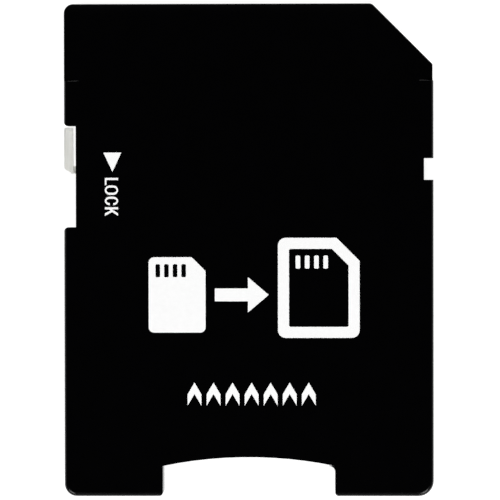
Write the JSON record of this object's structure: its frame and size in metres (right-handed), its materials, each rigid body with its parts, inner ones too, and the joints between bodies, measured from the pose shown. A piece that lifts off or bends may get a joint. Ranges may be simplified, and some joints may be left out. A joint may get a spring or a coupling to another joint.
{
  "type": "memory card adapter",
  "caption": "Flat black two-shell card that carries a smaller memory card, with a keyed bay, a thumb cut-out, side notches, plated contacts and a sliding lock.",
  "frame": {"origin": "middle of the overall box in plan, on the contact side that the card lies on", "axes": "+Y towards the contact edge that enters the host slot, +Z out of the printed label side, +X towards the corner cut"},
  "size_m": [0.024, 0.032, 0.0021],
  "materials": {
    "black_shell": "fine moulded texture",
    "black_insulator": "smooth moulded",
    "plated_contact": "gold plated",
    "spring_steel": "rolled",
    "slider_plastic": "natural moulded",
    "white_ink": "pad printed"
  },
  "bodies": {
    "housing": {"label_side_shell": "black_shell", "contact_side_shell": "black_shell", "contact_carrier": "black_insulator", "lead_data2": "plated_contact", "lead_data3": "plated_contact", "lead_command": "plated_contact", "lead_supply": "plated_contact", "lead_clock": "plated_contact", "lead_ground": "plated_contact", "lead_data0": "plated_contact", "lead_data1": "plated_contact", "card_spring": "spring_steel"},
    "lock_slider": {"lock_slider": "slider_plastic"}
  },
  "joints": [
    {"name": "lock_slide", "type": "slide", "parent": "housing", "child": "lock_slider", "axis": [0, -1, 0], "range_m": [0, 0.00343]}
  ]
}
